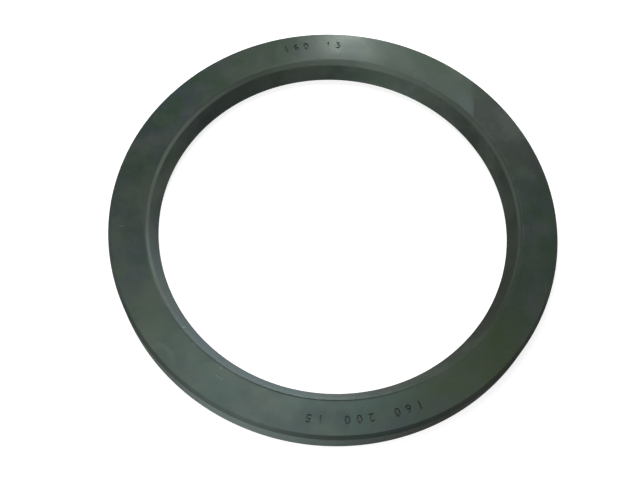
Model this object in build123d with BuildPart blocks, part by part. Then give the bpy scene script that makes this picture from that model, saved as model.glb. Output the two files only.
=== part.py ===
from build123d import *
from math import cos, radians, sqrt, tan
import os

# Radial shaft seal: a rubber ring moulded in one piece, with a garter spring snapped in behind its lip.
# Millimetres. The Z axis is the shaft's axis. The front (oil-side) face lies on Z = 0, where the ring
# rests, and the flat air-side face is on top, at Z = seal_width. Angles are measured from the axis.

# The three sizes that the seal is sold by
shaft_d = 160.0
housing_d = 200.0
seal_width = 15.0

# Rim, whose outer wall is the seat that is pressed into the housing
heel_length = 2.2  # chamfer between the air-side face and the seat
heel_angle = 30.0
lead_in_length = 2.1  # chamfer that starts the seal into its housing
lead_in_angle = 20.0
rim_thickness = 8.0  # at the front face
rim_draft = 3.0  # lets the mould's core out of the oil-side groove
rim_gusset = 1.8  # bevelled corner between the rim and the web

# Back web, whose upper side is the air-side face
web_thickness = 3.6
mouth_round = 1.35  # soft corner between the air-side face and the bevel
bevel_depth = 2.2
bevel_angle = 38.0

# Sealing lip
lip_interference = 2.4  # how much smaller the free lip is than the shaft, on diameter
contact_land = 0.5
air_side_angle = 25.0
lip_end_recess = 1.2  # the lip's front end stands back from the front face
lip_end_width = 1.88  # flat end, which leaves the lip about 45 degrees steep on the oil side
neck_thickness = 2.1  # the flexing part between the lip's head and the web
neck_length = 2.65
neck_root = 1.0  # bevelled corner between the neck and the web
neck_foot = 0.7  # bevelled corner between the neck and the ledge
ledge_thickness = 0.8  # wall between the spring and the neck's notch

# Garter spring, and the oval groove for it in the back of the lip's head
garter_d = 3.4
garter_sides = 12  # flats round the plain ring that stands for the wound coil
garter_offset = 0.7  # the spring's plane stands this far behind the contact land
lip_bed = 2.9  # rubber between the contact land and the spring
groove_room = 0.15  # clearance in radius, which the coil needs when the lip stretches
groove_side_gap = 0.1  # clearance along the axis
groove_mouth = 2.6  # narrower than the spring, which snaps in

# Radii and heights that follow from the sizes above
seat_r = housing_d / 2
lip_r = (shaft_d - lip_interference) / 2
bevel_z = seal_width - bevel_depth
web_z = seal_width - web_thickness
ledge_z = web_z - neck_length
groove_half_depth = garter_d / 2 + groove_room
groove_half_width = garter_d / 2 + groove_side_gap
garter_r = lip_r + lip_bed + garter_d / 2
garter_z = ledge_z - ledge_thickness - groove_half_width
head_r = garter_r + groove_half_depth * sqrt(1 - (groove_mouth / 2 / groove_half_width) ** 2)
land_high_z = garter_z - garter_offset + contact_land / 2
land_low_z = land_high_z - contact_land


def air_cone_r(z):
    """Radius of the lip's air-side cone at a height."""
    return lip_r + (z - land_high_z) * tan(radians(air_side_angle))


def neck_r(z):
    """Radius of the neck's outer side, which runs along the air-side cone."""
    return air_cone_r(z) + neck_thickness / cos(radians(air_side_angle))


def rim_inner_r(z):
    """Radius of the rim's inner wall, drafted so that it opens towards the front face."""
    return seat_r - rim_thickness - z * tan(radians(rim_draft))


mouth_r = air_cone_r(bevel_z) + bevel_depth * tan(radians(bevel_angle))
heel_r = seat_r - heel_length * tan(radians(heel_angle))
lead_in_r = seat_r - lead_in_length * tan(radians(lead_in_angle))

# The section, as (radius, height, corner round), from the contact land round by way of the air side
section_corners = (
    (lip_r, land_low_z, 0),
    (lip_r, land_high_z, 0),
    (air_cone_r(bevel_z), bevel_z, 0),
    (mouth_r, seal_width, mouth_round),
    (heel_r, seal_width, 0),
    (seat_r, seal_width - heel_length, 0),
    (seat_r, lead_in_length, 0),
    (lead_in_r, 0, 0),
    (rim_inner_r(0), 0, 0),
    (rim_inner_r(web_z - rim_gusset), web_z - rim_gusset, 0),
    (rim_inner_r(web_z) - rim_gusset, web_z, 0),
    (neck_r(web_z) + neck_root, web_z, 0),
    (neck_r(web_z - neck_root), web_z - neck_root, 0),
    (neck_r(ledge_z + neck_foot), ledge_z + neck_foot, 0),
    (neck_r(ledge_z) + neck_foot, ledge_z, 0),
    (head_r, ledge_z, 0),
    (head_r, lip_end_recess, 0),
    (head_r - lip_end_width, lip_end_recess, 0),
)

with BuildPart() as seal_body:
    with BuildSketch(Plane.XZ):
        with BuildLine():
            FilletPolyline(
                [(r, z) for r, z, _ in section_corners],
                radius=[corner_round for _, _, corner_round in section_corners],
                close=True,
            )
        make_face()
        with Locations((garter_r, garter_z)):
            Ellipse(groove_half_depth, groove_half_width, mode=Mode.SUBTRACT)
    revolve(axis=Axis.Z)

with BuildPart() as garter_spring:
    with BuildSketch(Plane.XZ):
        with Locations((garter_r, garter_z)):
            RegularPolygon(garter_d / 2, garter_sides)
    revolve(axis=Axis.Z)

os.makedirs("parts", exist_ok=True)
seal_body.part.label = "seal_body"
export_step(seal_body.part, "parts/seal_body.step")
garter_spring.part.label = "garter_spring"
export_step(garter_spring.part, "parts/garter_spring.step")
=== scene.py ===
import bpy
import math
from mathutils import Matrix, Vector


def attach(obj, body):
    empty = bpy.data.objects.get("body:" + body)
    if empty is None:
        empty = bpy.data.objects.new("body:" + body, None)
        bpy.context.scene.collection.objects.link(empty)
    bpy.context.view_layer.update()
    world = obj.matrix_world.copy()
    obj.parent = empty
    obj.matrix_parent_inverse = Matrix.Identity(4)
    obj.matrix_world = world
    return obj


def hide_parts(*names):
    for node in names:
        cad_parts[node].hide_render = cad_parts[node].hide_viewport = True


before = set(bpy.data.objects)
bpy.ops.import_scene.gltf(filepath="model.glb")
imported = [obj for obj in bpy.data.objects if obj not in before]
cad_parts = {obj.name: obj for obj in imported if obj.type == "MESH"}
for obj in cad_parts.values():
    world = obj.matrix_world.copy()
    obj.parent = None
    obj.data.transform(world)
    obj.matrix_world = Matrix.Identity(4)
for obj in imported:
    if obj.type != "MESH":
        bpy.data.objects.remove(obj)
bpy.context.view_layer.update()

# ---------------------------------------------------------------------------------------------------
# Seal body. One ring of dark green-black nitrile rubber, compression-moulded in a turned steel mould:
# a thick rim pressed into the housing, a web whose upper side is the flat air-side face, and the
# flexing sealing lip. Raised figures in the mould sink its size numbers into the face.

MM = 0.001
seat_r = 100.0  # outer wall, pressed into the housing
face_z = 15.0
heel = (1.27, 2.2)  # chamfer between the face and the outer wall: radial and axial length
lead_in = (0.7643, 2.1)  # chamfer at the foot of the outer wall
rim_inner_r = 92.0
web_z = 11.4
lip_r = 78.8
land_z = (5.2, 5.7)  # the lip's contact land
air_slope = math.tan(math.radians(25))
bevel = (1.7188, 2.2)  # between the face and the lip's air-side cone
neck_across = 2.317  # the neck's thickness, measured along a radius
neck_foot_z = 9.45
spring_r, spring_z = 83.4, 6.15
groove_depth, groove_width, groove_mouth = 1.85, 1.8, 2.6
head_r, head_z = 84.68, 8.75  # the lip head's outer side and its upper side
lip_end_z, lip_end_across = 1.2, 1.88

cone_top_r = lip_r + (face_z - bevel[1] - land_z[1]) * air_slope
mouth_r = cone_top_r + bevel[0]


def neck_r(z):
    """Radius of the neck's outer side at a height."""
    return lip_r + (z - land_z[1]) * air_slope + neck_across


# The groove that holds the garter spring, as points from its lower edge round to its upper edge
groove_gap = math.asin(groove_mouth / 2 / groove_width)
groove_steps = 14
groove_angles = [
    -groove_gap - (2 * math.pi - 2 * groove_gap) * step / groove_steps
    for step in range(groove_steps + 1)
]
groove = [
    (spring_r + groove_depth * math.cos(a), spring_z + groove_width * math.sin(a))
    for a in groove_angles
]

# The section's corners: radius, height, corner round and the number of steps in that round
section = [
    (lip_r, land_z[0], 0.06, 2),  # contact land
    (lip_r, land_z[1], 0.06, 2),
    (cone_top_r, face_z - bevel[1], 0.7, 3),  # air-side cone to bevel
    (mouth_r, face_z, 1.35, 8),  # bevel to face
    (seat_r - heel[0], face_z, 0.35, 4),  # face to outer wall
    (seat_r, face_z - heel[1], 0.45, 4),
    (seat_r, lead_in[1], 0.45, 3),  # outer wall to foot
    (seat_r - lead_in[0], 0, 0.4, 4),
    (rim_inner_r, 0, 0.4, 4),
    (rim_inner_r - 0.5, web_z - 1.8, 1.6, 4),  # rim to web
    (rim_inner_r - 2.4, web_z, 1.6, 4),
    (neck_r(web_z) + 1.0, web_z, 0.9, 4),  # web to neck
    (neck_r(web_z - 1.0), web_z - 1.0, 0.6, 3),
    (neck_r(neck_foot_z), neck_foot_z, 0.5, 3),  # neck to lip head
    (neck_r(head_z) + 0.7, head_z, 0.3, 3),
    (head_r, head_z, 0.3, 4),
]
section += [(*groove[-1], 0.18, 3)]
section += [(*point, 0, 0) for point in reversed(groove[1:-1])]
section += [(*groove[0], 0.18, 3)]
section += [
    (head_r, lip_end_z, 0.5, 4),
    (head_r - lip_end_across, lip_end_z, 0.4, 3),
]


def rounded(corners, edge_loop=0.12):
    """The section's points: each corner rounded, with a point just off each round to keep flats flat."""
    points = []
    for index, (r, z, round_r, steps) in enumerate(corners):
        corner = Vector((r, z))
        before = Vector(corners[index - 1][:2])
        after = Vector(corners[(index + 1) % len(corners)][:2])
        if not round_r:
            points.append(corner)
            continue
        to_before = (before - corner).normalized()
        to_after = (after - corner).normalized()
        half = to_before.angle(to_after) / 2
        reach = round_r / math.tan(half)
        centre = corner + (to_before + to_after).normalized() * (round_r / math.sin(half))
        start = corner + to_before * reach - centre
        sweep = start.angle_signed(corner + to_after * reach - centre)
        if (before - corner).length > reach + 4 * edge_loop:
            points.append(corner + to_before * (reach + edge_loop))
        for step in range(steps + 1):
            turned = start.copy()
            turned.rotate(Matrix.Rotation(-sweep * step / steps, 2))
            points.append(centre + turned)
        if (after - corner).length > reach + 4 * edge_loop:
            points.append(corner + to_after * (reach + edge_loop))
    return points


outline = rounded(section)
body_mesh = bpy.data.meshes.new("seal_body_moulding")
body_mesh.from_pydata(
    [(p.x * MM, 0, p.y * MM) for p in outline],
    [(i, (i + 1) % len(outline)) for i in range(len(outline))],
    [],
)
body = bpy.data.objects.new("seal_body_moulding", body_mesh)
bpy.context.collection.objects.link(body)


def add_node(tree, kind, inputs=None, **settings):
    """Adds a node, sets its properties, then its inputs: a socket is linked and a value is written."""
    made = tree.nodes.new(kind)
    for name, value in settings.items():
        setattr(made, name, value)
    for key, value in (inputs or {}).items():
        if isinstance(value, bpy.types.NodeSocket):
            tree.links.new(value, made.inputs[key])
        else:
            made.inputs[key].default_value = value
    return made


def output(tree, kind, inputs=None, **settings):
    """Adds a node and gives its first output."""
    return add_node(tree, kind, inputs, **settings).outputs[0]


def calculate(tree, operation, a, b=0.0, c=0.0):
    """Adds a Math node and gives its result."""
    return output(tree, "ShaderNodeMath", {0: a, 1: b, 2: c}, operation=operation)


def ramp(tree, value, low, high, out_low=0.0, out_high=1.0):
    """A smooth step of a value, from one level to another."""
    return output(
        tree,
        "ShaderNodeMapRange",
        {"Value": value, "From Min": low, "From Max": high, "To Min": out_low, "To Max": out_high},
        interpolation_type="SMOOTHSTEP",
    )


def blend(tree, factor, first, second):
    """Mixes two colours, each a plain colour or a socket."""
    first = first if isinstance(first, bpy.types.NodeSocket) else (*first, 1)
    second = second if isinstance(second, bpy.types.NodeSocket) else (*second, 1)
    return add_node(
        tree, "ShaderNodeMix", {0: factor, 6: first, 7: second}, data_type="RGBA"
    ).outputs[2]


def run_tree(piece, tree, material_input, material):
    """Runs a tree on a piece with its material, and leaves the result as the piece's plain mesh."""
    making = piece.modifiers.new(tree.name, "NODES")
    making.node_group = tree
    for item in tree.interface.items_tree:
        if item.item_type == "SOCKET" and item.in_out == "INPUT" and item.name == material_input:
            making[item.identifier] = material
    evaluated = piece.evaluated_get(bpy.context.evaluated_depsgraph_get())
    finished = bpy.data.meshes.new_from_object(evaluated)
    piece.modifiers.clear()
    piece.data = finished


# The turned ring with its sunk figures: the section goes round the axis, and figures set round a circle
# are cut out of the face
ring_tree = bpy.data.node_groups.new("turned_ring_with_figures", "GeometryNodeTree")
ring_tree.interface.new_socket(name="Section", in_out="INPUT", socket_type="NodeSocketGeometry")
for name, kind, value in (
    ("Segments", "NodeSocketInt", 512),
    ("Rail Radius", "NodeSocketFloat", 0.09),
    ("Face Height", "NodeSocketFloat", face_z * MM),
    ("Sharp Angle", "NodeSocketFloat", math.radians(55)),
    ("Figure Depth", "NodeSocketFloat", 0.0006),
    ("Stroke Growth", "NodeSocketFloat", 0.00016),
    ("Figure Size", "NodeSocketFloat", 0.0048),
    ("Figure Radius", "NodeSocketFloat", 0.0907),
    ("Figure Spacing", "NodeSocketFloat", 2.0),
    ("Gap Width", "NodeSocketFloat", 2.6),
    ("Near Angle", "NodeSocketFloat", math.radians(-153.5)),
    ("Far Angle", "NodeSocketFloat", math.radians(19)),
):
    ring_tree.interface.new_socket(name=name, in_out="INPUT", socket_type=kind).default_value = value
ring_tree.interface.new_socket(name="Rubber", in_out="INPUT", socket_type="NodeSocketMaterial")
ring_tree.interface.new_socket(name="Ring", in_out="OUTPUT", socket_type="NodeSocketGeometry")
sizes = add_node(ring_tree, "NodeGroupInput").outputs

shift = calculate(ring_tree, "MULTIPLY", sizes["Rail Radius"], -1.0)
shift = output(ring_tree, "ShaderNodeCombineXYZ", {"X": shift})
profile = output(ring_tree, "GeometryNodeMeshToCurve", {"Mesh": sizes["Section"]})
profile = output(
    ring_tree,
    "GeometryNodeTransform",
    {"Geometry": profile, "Translation": shift, "Rotation": (math.pi / 2, 0, 0)},
)
rail = output(
    ring_tree,
    "GeometryNodeCurvePrimitiveCircle",
    {"Resolution": sizes["Segments"], "Radius": sizes["Rail Radius"]},
)
rail = output(ring_tree, "GeometryNodeSetCurveNormal", {"Curve": rail}, mode="Z_UP")
ring = output(ring_tree, "GeometryNodeCurveToMesh", {"Curve": rail, "Profile Curve": profile})

# Each figure is moved out to the circle and turned about the axis by its place along the line of text
both = add_node(ring_tree, "GeometryNodeJoinGeometry")
for text, start in (("160 200 15", "Near Angle"), ("160 15", "Far Angle")):
    glyphs = output(
        ring_tree,
        "GeometryNodeStringToCurves",
        {
            "String": text,
            "Size": sizes["Figure Size"],
            "Character Spacing": sizes["Figure Spacing"],
            "Word Spacing": sizes["Gap Width"],
        },
    )
    placed = output(ring_tree, "GeometryNodeInputPosition")
    along = add_node(ring_tree, "ShaderNodeSeparateXYZ", {0: placed}).outputs["X"]
    half_figure = calculate(ring_tree, "MULTIPLY", sizes["Figure Size"], 0.25)
    middle = calculate(ring_tree, "ADD", along, half_figure)
    turn = calculate(ring_tree, "DIVIDE", middle, sizes["Figure Radius"])
    turn = calculate(ring_tree, "SUBTRACT", sizes[start], turn)
    turn = output(ring_tree, "ShaderNodeCombineXYZ", {"Z": turn})
    turn = output(ring_tree, "FunctionNodeEulerToRotation", {0: turn})
    spin = output(ring_tree, "FunctionNodeCombineTransform", {"Rotation": turn})
    back = calculate(ring_tree, "MULTIPLY", middle, -1.0)
    out = output(ring_tree, "ShaderNodeCombineXYZ", {"X": back, "Y": sizes["Figure Radius"]})
    out = output(ring_tree, "FunctionNodeCombineTransform", {"Translation": out})
    now = output(ring_tree, "GeometryNodeInstanceTransform")
    out = output(ring_tree, "FunctionNodeMatrixMultiply", {0: out, 1: now})
    spin = output(ring_tree, "FunctionNodeMatrixMultiply", {0: spin, 1: out})
    figures = output(
        ring_tree, "GeometryNodeSetInstanceTransform", {"Instances": glyphs, "Transform": spin}
    )
    ring_tree.links.new(figures, both.inputs[0])

# The figures are made solid, their strokes grown a little, and lifted to stand through the face
flat = output(ring_tree, "GeometryNodeRealizeInstances", {0: both.outputs[0]})
flat = output(ring_tree, "GeometryNodeFillCurve", {0: flat})
rise = calculate(ring_tree, "MULTIPLY", sizes["Figure Depth"], 2.0)
punch = output(
    ring_tree,
    "GeometryNodeExtrudeMesh",
    {"Mesh": flat, "Offset Scale": rise, "Individual": False},
)
floor_side = output(ring_tree, "GeometryNodeFlipFaces", {0: flat})
closed = add_node(ring_tree, "GeometryNodeJoinGeometry")
ring_tree.links.new(punch, closed.inputs[0])
ring_tree.links.new(floor_side, closed.inputs[0])
closed = output(
    ring_tree, "GeometryNodeMergeByDistance", {0: closed.outputs[0], "Distance": 1e-6}
)
outwards = output(ring_tree, "GeometryNodeInputNormal")
outwards = output(
    ring_tree, "ShaderNodeVectorMath", {0: outwards, 1: (1, 1, 0)}, operation="MULTIPLY"
)
outwards = output(ring_tree, "ShaderNodeVectorMath", {0: outwards}, operation="NORMALIZE")
outwards = output(
    ring_tree,
    "ShaderNodeVectorMath",
    {0: outwards, "Scale": sizes["Stroke Growth"]},
    operation="SCALE",
)
closed = output(ring_tree, "GeometryNodeSetPosition", {"Geometry": closed, "Offset": outwards})
lift = calculate(ring_tree, "SUBTRACT", sizes["Face Height"], sizes["Figure Depth"])
lift = output(ring_tree, "ShaderNodeCombineXYZ", {"Z": lift})
closed = output(ring_tree, "GeometryNodeTransform", {0: closed, "Translation": lift})
cut = output(
    ring_tree,
    "GeometryNodeMeshBoolean",
    {"Mesh 1": ring, "Mesh 2": closed},
    operation="DIFFERENCE",
    solver="MANIFOLD",
)
smooth = output(ring_tree, "GeometryNodeSetShadeSmooth", {0: cut}, domain="FACE")
angle = output(ring_tree, "GeometryNodeInputMeshEdgeAngle")
sharp = output(
    ring_tree, "FunctionNodeCompare", {0: angle, 1: sizes["Sharp Angle"]}, operation="GREATER_THAN"
)
smooth = output(
    ring_tree,
    "GeometryNodeSetShadeSmooth",
    {0: smooth, "Selection": sharp, "Shade Smooth": False},
    domain="EDGE",
)
realized = output(ring_tree, "GeometryNodeRealizeInstances", {0: smooth})
painted = output(ring_tree, "GeometryNodeSetMaterial", {0: realized, "Material": sizes["Rubber"]})
add_node(ring_tree, "NodeGroupOutput", {0: painted})

# Broken tone, for the rubber and the steel: broad cloudy patches, a fine grain and scattered specks
broken = bpy.data.node_groups.new("broken_tone", "ShaderNodeTree")
for name, kind, in_out in (
    ("Place", "NodeSocketVector", "INPUT"),
    ("Patches per Metre", "NodeSocketFloat", "INPUT"),
    ("Grains per Metre", "NodeSocketFloat", "INPUT"),
    ("Patches", "NodeSocketFloat", "OUTPUT"),
    ("Second Patches", "NodeSocketFloat", "OUTPUT"),
    ("Grain", "NodeSocketFloat", "OUTPUT"),
    ("Specks", "NodeSocketFloat", "OUTPUT"),
):
    broken.interface.new_socket(name=name, in_out=in_out, socket_type=kind)
given = add_node(broken, "NodeGroupInput").outputs
result = add_node(broken, "NodeGroupOutput")
for name, start, stretch, scale, detail, low, high in (
    ("Patches", (0, 0, 0), 1.0, "Patches per Metre", 5, 0.36, 0.64),
    ("Second Patches", (3.1, 1.7, 0.4), 0.55, "Patches per Metre", 6, 0.40, 0.62),
    ("Grain", (0, 0, 0), 1.0, "Grains per Metre", 2, 0.3, 0.7),
    ("Specks", (0.7, 2.3, 0.9), 1.0, "Grains per Metre", 1, 0.7, 0.76),
):
    moved = output(
        broken,
        "ShaderNodeMapping",
        {"Vector": given["Place"], "Location": start, "Scale": (stretch, stretch, stretch)},
    )
    noise = output(
        broken,
        "ShaderNodeTexNoise",
        {"Vector": moved, "Scale": given[scale], "Detail": detail, "Roughness": 0.6},
    )
    broken.links.new(ramp(broken, noise, low, high), result.inputs[name])

rubber = bpy.data.materials.new("moulded_rubber_green_black")
rubber.use_nodes = True
shade = rubber.node_tree
shader = shade.nodes["Principled BSDF"]
place = add_node(shade, "ShaderNodeTexCoord").outputs["Object"]
apart = add_node(shade, "ShaderNodeSeparateXYZ", {0: place}).outputs
flat_place = output(shade, "ShaderNodeCombineXYZ", {0: apart["X"], 1: apart["Y"]})
direction = output(shade, "ShaderNodeVectorMath", {0: flat_place}, operation="NORMALIZE")
radius = add_node(
    shade, "ShaderNodeVectorMath", {0: flat_place}, operation="LENGTH"
).outputs["Value"]
bearing = calculate(shade, "ARCTAN2", apart["Y"], apart["X"])
worn = add_node(
    shade,
    "ShaderNodeGroup",
    {"Place": place, "Patches per Metre": 75, "Grains per Metre": 1500},
    node_tree=broken,
).outputs


def overlap(*masks):
    """Where all of the rubber's masks lie over each other: their product."""
    product = masks[0]
    for mask in masks[1:]:
        product = calculate(shade, "MULTIPLY", product, mask)
    return product


def by_radius(full_r, clear_r):
    """A mask that is full as far as one radius in mm, and fades out towards another."""
    return ramp(shade, radius, clear_r * MM, full_r * MM)


def cloud(degrees, half_span, rest=0.0, waver=0.3):
    """A broad mask that is full at a bearing and falls to a rest level half_span degrees from it."""
    towards = (math.cos(math.radians(degrees)), math.sin(math.radians(degrees)), 0)
    along = add_node(shade, "ShaderNodeVectorMath", {0: direction, 1: towards}, operation="DOT_PRODUCT")
    away = calculate(shade, "ARCCOSINE", along.outputs["Value"])
    away = calculate(shade, "MULTIPLY_ADD", worn["Second Patches"], waver, away)
    return ramp(shade, away, waver / 2, math.radians(half_span) + waver / 2, 1.0, rest)


def circle_line(at_radius, half_width, soft=0.3):
    """A line right round the upper side, at a radius in mm, with soft edges."""
    across = calculate(shade, "ABSOLUTE", calculate(shade, "SUBTRACT", radius, at_radius * MM))
    across = ramp(shade, across, (half_width - soft) * MM, half_width * MM, 1.0, 0.0)
    return overlap(across, on_top)


def mark(at_radius, degrees, half_width, half_length, soft=0.3):
    """A stretch of such a line, with its middle at a bearing."""
    along = calculate(shade, "SUBTRACT", bearing, math.radians(degrees))
    along = calculate(shade, "ABSOLUTE", calculate(shade, "MULTIPLY", along, at_radius * MM))
    along = ramp(shade, along, (half_length - soft) * MM, half_length * MM, 1.0, 0.0)
    return overlap(circle_line(at_radius, half_width, soft), along)


# Dark rubber in tones that run into each other: green and blue-grey with broad tints round the ring,
# then browner patches, a fine grain and pale specks
tone = blend(shade, worn["Patches"], (0.017, 0.040, 0.017), (0.029, 0.037, 0.046))
for degrees, half_span, weight, colour in (
    (-135, 16, 0.5, (0.034, 0.054, 0.022)),
    (-104, 48, 0.7, (0.016, 0.044, 0.042)),
    (-44, 24, 0.75, (0.034, 0.050, 0.016)),
    (-14, 18, 0.6, (0.022, 0.039, 0.021)),
    (40, 34, 0.85, (0.015, 0.017, 0.013)),
    (68, 22, 0.4, (0.014, 0.034, 0.012)),
    (110, 28, 0.55, (0.018, 0.034, 0.015)),
    (176, 28, 0.6, (0.013, 0.026, 0.019)),
):
    tint = calculate(shade, "MULTIPLY", cloud(degrees, half_span), weight)
    tone = blend(shade, tint, tone, colour)
for mask, weight, colour in (
    (worn["Second Patches"], 0.65, (0.050, 0.059, 0.046)),
    (worn["Grain"], 0.18, (0.060, 0.072, 0.062)),
    (worn["Specks"], 0.15, (0.16, 0.18, 0.16)),
):
    tone = blend(shade, calculate(shade, "MULTIPLY", mask, weight), tone, colour)

# Where the marks lie. The lip's cone ends at a radius of 82.1 mm and the flat face begins at 83.8; the
# chamfer runs from 98.7 to the wall. inside is the lip's air side, down to its contact land
on_top = ramp(shade, apart["Z"], 12.2 * MM, 13.0 * MM)
on_face = by_radius(84.5, 83.5)
on_wall = by_radius(99.9, 99.75)
inside = calculate(shade, "MULTIPLY_ADD", apart["Z"], -air_slope, radius)
inside = ramp(shade, inside, 76.8 * MM, 77.4 * MM, 1.0, 0.0)

# Painted light and shade on the slopes and the wall. The far slope is painted paler as light, and a
# painted highlight runs along the bevel at the left and right. Painted shade darkens the cone at the
# far left, and down the right side, where it is dull too. The near left slope and the near wall are
# painted paler and bluer as light, and the wall's right side and the chamfer, most at its near left, are
# painted darker as shade
# Painted light: the far slope, which faces the low lamps in front, is painted paler
far_slope_painted_light = overlap(on_top, by_radius(83.4, 85.0), cloud(99, 36, 0.12))
# Painted highlight: a pale line along the bevel, strongest at the right and at the left
bevel_highlight_strength = calculate(shade, "MULTIPLY_ADD", cloud(16, 44), 0.28, cloud(160, 58, 0.12))
corner = overlap(circle_line(82.8, 0.95, 0.7), bevel_highlight_strength)
# Painted shade: the cone is painted darker at the far left
far_left_cone_painted_shade = overlap(cloud(128, 46), by_radius(82.1, 82.4), inside)
shaded = calculate(shade, "MULTIPLY_ADD", cloud(0, 44), 0.85, cloud(-58, 44))
shaded = calculate(shade, "MULTIPLY_ADD", cloud(56, 22), 0.5, shaded)
shaded = overlap(shaded, by_radius(83.4, 84.0), inside)
# Painted light: the near left slope is painted paler and bluer
near_left_slope_painted_light = overlap(cloud(-124, 56), by_radius(83.4, 83.8), inside)
# Painted light: the near wall is painted paler and bluer
near_wall_painted_light = overlap(on_wall, cloud(-101, 48))
# Painted shade: the wall's right side is painted darker
wall_right_painted_shade = overlap(on_wall, cloud(-44, 54))
# Painted shade: the chamfer is painted darker all round, most at the near left
chamfer_painted_shade = overlap(on_top, by_radius(98.9, 98.6), cloud(-132, 34, 0.5))

# On the face: the curved edge of a dried stain; a pale patch with one straight edge and a fainter one
# beside it, both painted sheen on the far face; a greener inner edge at the near side; painted shade
# on the inner edge at the far side, which is a little duller too; and a dark, duller line of painted
# shade along the near inner edge. The short marks are scrapes and a line across the slope, the long dark
# one crosses the face by the figures, and the floors of the figures are painted darker as shade
stain_centre = (-0.0705, -0.0745, 0)
spot = add_node(
    shade, "ShaderNodeVectorMath", {0: flat_place, 1: stain_centre}, operation="DISTANCE"
).outputs["Value"]
stain = overlap(
    on_top,
    ramp(shade, spot, 5.0 * MM, 8.8 * MM),
    ramp(shade, spot, 9.2 * MM, 9.8 * MM, 1.0, 0.0),
    ramp(shade, radius, 93.0 * MM, 98.5 * MM, 1.0, 0.1),
)
# Painted sheen: a pale patch with one straight edge on the far face
straight_edged_painted_sheen = overlap(
    on_top,
    ramp(shade, apart["X"], 44.0 * MM, 60.5 * MM),
    ramp(shade, apart["X"], 61.6 * MM, 62.4 * MM, 1.0, 0.0),
    ramp(shade, apart["Y"], 40.0 * MM, 60.0 * MM),
    ramp(shade, radius, 87.0 * MM, 95.0 * MM, 1.0, 0.1),
    on_face,
)
# Painted sheen: a fainter pale patch beside it, further round the far face
faint_painted_sheen = overlap(
    on_top,
    ramp(shade, apart["X"], 60.0 * MM, 62.5 * MM, 1.0, 0.0),
    ramp(shade, apart["X"], 4.0 * MM, 30.0 * MM),
    ramp(shade, apart["Y"], 20.0 * MM, 60.0 * MM),
    on_face,
)
# Painted shade: a dark line along the near inner edge, which is duller too
near_edge_painted_shade = overlap(mark(84.25, -95.0, 0.36, 140.0), cloud(-94, 64))
greened = overlap(cloud(-92, 34), by_radius(86.5, 90.0), by_radius(85.0, 84.0), on_top)
# Painted shade: the inner edge at the far side is painted darker, and is a little duller
far_inner_matt_and_painted_shade = overlap(cloud(90, 22), by_radius(84.5, 90.0), by_radius(84.2, 83.6), on_top)
# Painted shade: the floors of the figures are painted darker
figure_floor_painted_shade = overlap(
    ramp(shade, apart["Z"], 14.8 * MM, 14.92 * MM, 1.0, 0.0), mark(92.4, -79.0, 2.2, 30.0)
)
# Besides real marks, this table paints light and shade: painted light on the far slope, the near left
# slope and the near wall, a painted highlight along the bevel, painted sheen in the two pale patches on
# the far face, and painted shade on the cone, the wall's right side, the chamfer, the far and near inner
# edges and the floors of the figures
for mask, weight, colour in (
    (far_slope_painted_light, 0.75, (0.086, 0.108, 0.086)),
    (far_left_cone_painted_shade, 0.8, (0.009, 0.014, 0.011)),
    (shaded, 0.95, (0.008, 0.012, 0.004)),
    (corner, 0.75, (0.13, 0.155, 0.135)),
    (far_inner_matt_and_painted_shade, 0.65, (0.010, 0.021, 0.010)),
    (near_left_slope_painted_light, 0.37, (0.070, 0.114, 0.158)),
    (near_wall_painted_light, 0.8, (0.096, 0.130, 0.122)),
    (wall_right_painted_shade, 1.0, (0.005, 0.007, 0.001)),
    (chamfer_painted_shade, 0.88, (0.013, 0.020, 0.015)),
    (greened, 0.4, (0.044, 0.082, 0.070)),
    (stain, 0.45, (0.085, 0.115, 0.085)),
    (straight_edged_painted_sheen, 0.55, (0.066, 0.080, 0.092)),
    (faint_painted_sheen, 0.25, (0.055, 0.088, 0.058)),
    (mark(88.9, -118.6, 0.4, 1.9), 0.35, (0.13, 0.17, 0.13)),
    (mark(85.3, -119.7, 0.6, 0.8), 0.4, (0.12, 0.15, 0.12)),
    (mark(84.8, -130.1, 0.4, 1.2), 0.5, (0.12, 0.15, 0.11)),
    (mark(93.6, -171.9, 1.4, 0.35, 0.2), 0.4, (0.11, 0.14, 0.13)),
    (mark(82.6, -136.3, 1.0, 0.4, 0.2), 0.6, (0.22, 0.27, 0.23)),
    (mark(95.3, -83.7, 3.0, 0.3, 0.2), 0.5, (0.012, 0.016, 0.014)),
    (near_edge_painted_shade, 0.8, (0.008, 0.011, 0.010)),
    (figure_floor_painted_shade, 0.6, (0.012, 0.016, 0.014)),
):
    tone = blend(shade, calculate(shade, "MULTIPLY", mask, weight), tone, colour)
shade.links.new(tone, shader.inputs["Base Color"])

# Semi-matt, duller in the grain, the stain, the dark line along the near edge and the shaded cone,
# and on the wall; glossier on the bevel
gloss = ramp(shade, worn["Patches"], 0.0, 1.0, 0.415, 0.485)
for mask, weight in (
    (worn["Grain"], 0.03),
    (stain, 0.05),
    (near_edge_painted_shade, 0.4),
    (far_inner_matt_and_painted_shade, 0.02),
    (shaded, 0.12),
    (by_radius(83.2, 84.0), -0.05),
    (by_radius(82.0, 82.6), 0.02),
    (by_radius(99.9, 99.2), 0.06),
):
    gloss = calculate(shade, "MULTIPLY_ADD", mask, weight, gloss)
shade.links.new(gloss, shader.inputs["Roughness"])

# The turning marks draw the gloss out across them
shader.inputs["Anisotropic"].default_value = 0.87
shader.inputs["Anisotropic Rotation"].default_value = 0.25
shader.inputs["Specular Tint"].default_value = (0.84, 1.0, 0.93, 1)
tangent = output(shade, "ShaderNodeTangent", direction_type="RADIAL", axis="Z")
shade.links.new(tangent, shader.inputs["Tangent"])

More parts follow.
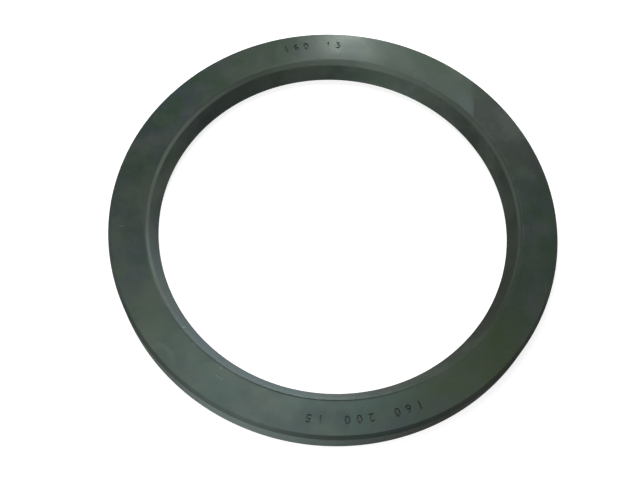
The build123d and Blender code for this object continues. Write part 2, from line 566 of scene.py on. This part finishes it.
# Turning marks of the mould: fine circles that waver a little and fade in and out round the ring, over
# a slight unevenness and under a fine grain
wander = output(shade, "ShaderNodeTexNoise", {"Vector": place, "Scale": 60.0, "Detail": 1.0})
circles = calculate(shade, "MULTIPLY_ADD", apart["Z"], 0.8, radius)
circles = calculate(shade, "MULTIPLY_ADD", wander, 0.4 * MM, circles)
fine = output(
    shade,
    "ShaderNodeTexNoise",
    {"W": circles, "Scale": 3600.0, "Detail": 2.0, "Roughness": 0.6},
    noise_dimensions="1D",
)
bump = output(
    shade,
    "ShaderNodeBump",
    {"Distance": 0.05 * MM, "Height": worn["Patches"], "Strength": 0.5},
)
bump = output(
    shade,
    "ShaderNodeBump",
    {"Distance": 0.012 * MM, "Height": fine, "Normal": bump, "Strength": 1.0},
)
bump = output(
    shade,
    "ShaderNodeBump",
    {"Distance": 0.02 * MM, "Height": worn["Grain"], "Normal": bump, "Strength": 0.5},
)
shade.links.new(bump, shader.inputs["Normal"])

run_tree(body, ring_tree, "Rubber", rubber)
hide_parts("seal_body")
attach(body, "root")

# ---------------------------------------------------------------------------------------------------
# Garter spring. A long close-wound coil of thin drawn steel wire, its ends joined to make a ring, which
# is snapped into the groove behind the lip and draws the lip on to the shaft. It shows only from below.

coil = bpy.data.objects.new("garter_coil", bpy.data.meshes.new("garter_coil"))
bpy.context.collection.objects.link(coil)

coil_tree = bpy.data.node_groups.new("coil_round_a_ring", "GeometryNodeTree")
for name, kind, value in (
    ("Turns", "NodeSocketInt", 873),
    ("Points per Turn", "NodeSocketInt", 12),
    ("Ring Radius", "NodeSocketFloat", spring_r * MM),
    ("Ring Height", "NodeSocketFloat", spring_z * MM),
    ("Coil Radius", "NodeSocketFloat", 1.4 * MM),
    ("Wire Radius", "NodeSocketFloat", 0.3 * MM),
    ("Wire Sides", "NodeSocketInt", 5),
):
    coil_tree.interface.new_socket(name=name, in_out="INPUT", socket_type=kind).default_value = value
coil_tree.interface.new_socket(name="Wire", in_out="INPUT", socket_type="NodeSocketMaterial")
coil_tree.interface.new_socket(name="Coil", in_out="OUTPUT", socket_type="NodeSocketGeometry")
sizes = add_node(coil_tree, "NodeGroupInput").outputs

points = calculate(coil_tree, "MULTIPLY", sizes["Turns"], sizes["Points per Turn"])
path = output(coil_tree, "GeometryNodeCurvePrimitiveCircle", {"Resolution": points})
index = output(coil_tree, "GeometryNodeInputIndex")
full_turns = calculate(coil_tree, "MULTIPLY", index, 2 * math.pi)
ring_angle = calculate(coil_tree, "DIVIDE", full_turns, points)
coil_angle = calculate(coil_tree, "DIVIDE", full_turns, sizes["Points per Turn"])
outwards = calculate(coil_tree, "COSINE", coil_angle)
outwards = calculate(coil_tree, "MULTIPLY_ADD", outwards, sizes["Coil Radius"], sizes["Ring Radius"])
upwards = calculate(coil_tree, "SINE", coil_angle)
upwards = calculate(coil_tree, "MULTIPLY_ADD", upwards, sizes["Coil Radius"], sizes["Ring Height"])
along_x = calculate(coil_tree, "MULTIPLY", calculate(coil_tree, "COSINE", ring_angle), outwards)
along_y = calculate(coil_tree, "MULTIPLY", calculate(coil_tree, "SINE", ring_angle), outwards)
place = output(coil_tree, "ShaderNodeCombineXYZ", {"X": along_x, "Y": along_y, "Z": upwards})
path = output(coil_tree, "GeometryNodeSetPosition", {"Geometry": path, "Position": place})
wire_section = output(
    coil_tree,
    "GeometryNodeCurvePrimitiveCircle",
    {"Resolution": sizes["Wire Sides"], "Radius": sizes["Wire Radius"]},
)
wire = output(coil_tree, "GeometryNodeCurveToMesh", {"Curve": path, "Profile Curve": wire_section})
wire = output(coil_tree, "GeometryNodeSetShadeSmooth", {0: wire}, domain="FACE")
wire = output(coil_tree, "GeometryNodeRealizeInstances", {0: wire})
wire = output(coil_tree, "GeometryNodeSetMaterial", {0: wire, "Material": sizes["Wire"]})
add_node(coil_tree, "NodeGroupOutput", {0: wire})

# Bright drawn wire under an oil film, browner where the oil has gathered, with dull specks
steel = bpy.data.materials.new("drawn_spring_steel")
steel.use_nodes = True
shade = steel.node_tree
shader = shade.nodes["Principled BSDF"]
place = add_node(shade, "ShaderNodeTexCoord").outputs["Object"]
worn = add_node(
    shade,
    "ShaderNodeGroup",
    {"Place": place, "Patches per Metre": 110, "Grains per Metre": 2600},
    node_tree=broken,
).outputs
tone = blend(shade, worn["Patches"], (0.42, 0.42, 0.41), (0.34, 0.33, 0.30))
for mask, weight, colour in (
    (worn["Grain"], 0.3, (0.50, 0.50, 0.49)),
    (worn["Specks"], 0.5, (0.18, 0.15, 0.12)),
):
    tone = blend(shade, calculate(shade, "MULTIPLY", mask, weight), tone, colour)
shade.links.new(tone, shader.inputs["Base Color"])
gloss = ramp(shade, worn["Second Patches"], 0.0, 1.0, 0.36, 0.46)
gloss = calculate(shade, "MULTIPLY_ADD", worn["Specks"], 0.2, gloss)
shade.links.new(gloss, shader.inputs["Roughness"])
shader.inputs["Metallic"].default_value = 1.0
bump = output(
    shade, "ShaderNodeBump", {"Distance": 0.01 * MM, "Height": worn["Grain"], "Strength": 0.6}
)
shade.links.new(bump, shader.inputs["Normal"])

run_tree(coil, coil_tree, "Wire", steel)
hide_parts("garter_spring")
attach(coil, "root")

# ---------------------------------------------------------------------------------------------------
# Studio floor. A plain pale floor that fills the frame, with a glow of its own so that it looks white
# and still keeps the ring's soft shadow. Gloss and clear things see a little of that glow. From below
# the floor is clear, so that the oil side can be seen.

floor_radius = 3.0
floor_sides = 64
floor_z = -0.02 * MM
step_round = 2 * math.pi / floor_sides
floor_mesh = bpy.data.meshes.new("studio_floor")
floor_mesh.from_pydata(
    [
        (math.cos(side * step_round) * floor_radius, math.sin(side * step_round) * floor_radius, floor_z)
        for side in range(floor_sides)
    ],
    [],
    [tuple(range(floor_sides))],
)
floor = bpy.data.objects.new("studio_floor", floor_mesh)
bpy.context.collection.objects.link(floor)

pale = bpy.data.materials.new("pale_floor")
pale.use_nodes = True
shade = pale.node_tree
shader = shade.nodes["Principled BSDF"]
shader.inputs["Base Color"].default_value = (0.60, 0.60, 0.60, 1)
shader.inputs["Roughness"].default_value = 0.9
shader.inputs["Specular IOR Level"].default_value = 0.1

# The glow is a little weaker near the ring, so that the shadow shows
near, far = 0.2, 0.9
near_glow, far_glow = 0.79, 1.0
from_ring = add_node(shade, "ShaderNodeTexCoord").outputs["Object"]
from_ring = add_node(shade, "ShaderNodeVectorMath", {0: from_ring}, operation="LENGTH")
glow = ramp(shade, from_ring.outputs["Value"], near, far, near_glow, far_glow)
glow = output(shade, "ShaderNodeEmission", {"Strength": glow})
glowing = output(shade, "ShaderNodeAddShader", {0: shader.outputs[0], 1: glow})
seen = add_node(shade, "ShaderNodeLightPath").outputs
gloss_share = 0.18
share = calculate(shade, "MAXIMUM", seen["Is Glossy Ray"], seen["Is Transmission Ray"])
share = calculate(shade, "MULTIPLY_ADD", share, gloss_share, seen["Is Camera Ray"])
upper_side = output(shade, "ShaderNodeMixShader", {0: share, 1: shader.outputs[0], 2: glowing})
underside = add_node(shade, "ShaderNodeNewGeometry").outputs["Backfacing"]
let_through = calculate(shade, "MAXIMUM", underside, seen["Is Shadow Ray"])
clear = output(shade, "ShaderNodeBsdfTransparent")
one_way = output(shade, "ShaderNodeMixShader", {0: let_through, 1: upper_side, 2: clear})
shade.links.new(one_way, shade.nodes["Material Output"].inputs["Surface"])
pale.cycles.emission_sampling = "NONE"
floor_mesh.materials.append(pale)

# ---------------------------------------------------------------------------------------------------
# Studio light. A soft box overhead lights the face, a small lamp low behind draws the pale sheen on its
# far side, and low panels before and behind light the slopes and the wall. A soft lamp lights the
# underside. The room is nearly dark, and looks white behind the ring.

ring_middle = Vector((0, 0, 0.013))
for name, place, width, height, energy in (
    ("overhead_softbox", (-0.070, 0.046, 0.565), 0.30, 0.30, 1.82),
    ("back_lamp", (0.002, 0.273, 0.143), 0.024, 0.055, 0.365),
    ("low_panel_behind", (0.180, 0.466, 0.067), 0.54, 0.134, 1.65),
    ("low_panel_in_front", (-0.25, -0.433, 0.067), 0.30, 0.134, 0.50),
    ("front_softbox", (-0.25, -0.360, 0.250), 0.50, 0.20, 0.95),
    ("lamp_below", (0, 0, -0.45), 0.36, 0.36, 2.7),
):
    lamp = bpy.data.objects.new(name, bpy.data.lights.new(name, "AREA"))
    bpy.context.collection.objects.link(lamp)
    lamp.data.shape = "RECTANGLE"
    lamp.data.size = width
    lamp.data.size_y = height
    lamp.data.energy = energy
    lamp.visible_camera = False
    lamp.location = place
    lamp.rotation_mode = "QUATERNION"
    lamp.rotation_quaternion = (ring_middle - lamp.location).to_track_quat("-Z", "Y")

room_level, seen_level = 0.03, 1.0
world = bpy.data.worlds.new("studio_room")
bpy.context.scene.world = world
world.use_nodes = True
room = world.node_tree
background = room.nodes["Background"]
background.inputs["Color"].default_value = (1, 1, 1, 1)
seen = add_node(room, "ShaderNodeLightPath").outputs
level = output(
    room, "ShaderNodeMix", {0: seen["Is Camera Ray"], 2: room_level, 3: seen_level}, data_type="FLOAT"
)
room.links.new(level, background.inputs["Strength"])

# ---------------------------------------------------------------------------------------------------
# Camera. It looks down on the ring at 65 degrees, from a little under half a metre away, with its
# frame turned a little and the ring slightly off the middle.

elevation = math.radians(64.925)
roll = math.radians(-4.378)
distance = 0.419879
aside, above = 0.0063693, 0.0100996
looked_at = Vector((0, 0, 0.01276))
right = Vector((1, 0, 0))
backward = Vector((0, -math.cos(elevation), math.sin(elevation)))
upward = backward.cross(right)
camera_x = right * math.cos(roll) - upward * math.sin(roll)
camera_y = right * math.sin(roll) + upward * math.cos(roll)
camera = bpy.data.objects.new("camera", bpy.data.cameras.new("camera"))
bpy.context.collection.objects.link(camera)
camera.data.lens = 52.875
camera.data.sensor_width = 36
camera.location = looked_at + backward * distance - camera_x * aside - camera_y * above
camera.rotation_mode = "QUATERNION"
camera.rotation_quaternion = Matrix((camera_x, camera_y, backward)).transposed().to_quaternion()
bpy.context.scene.camera = camera
bpy.context.scene.view_settings.view_transform = "Standard"
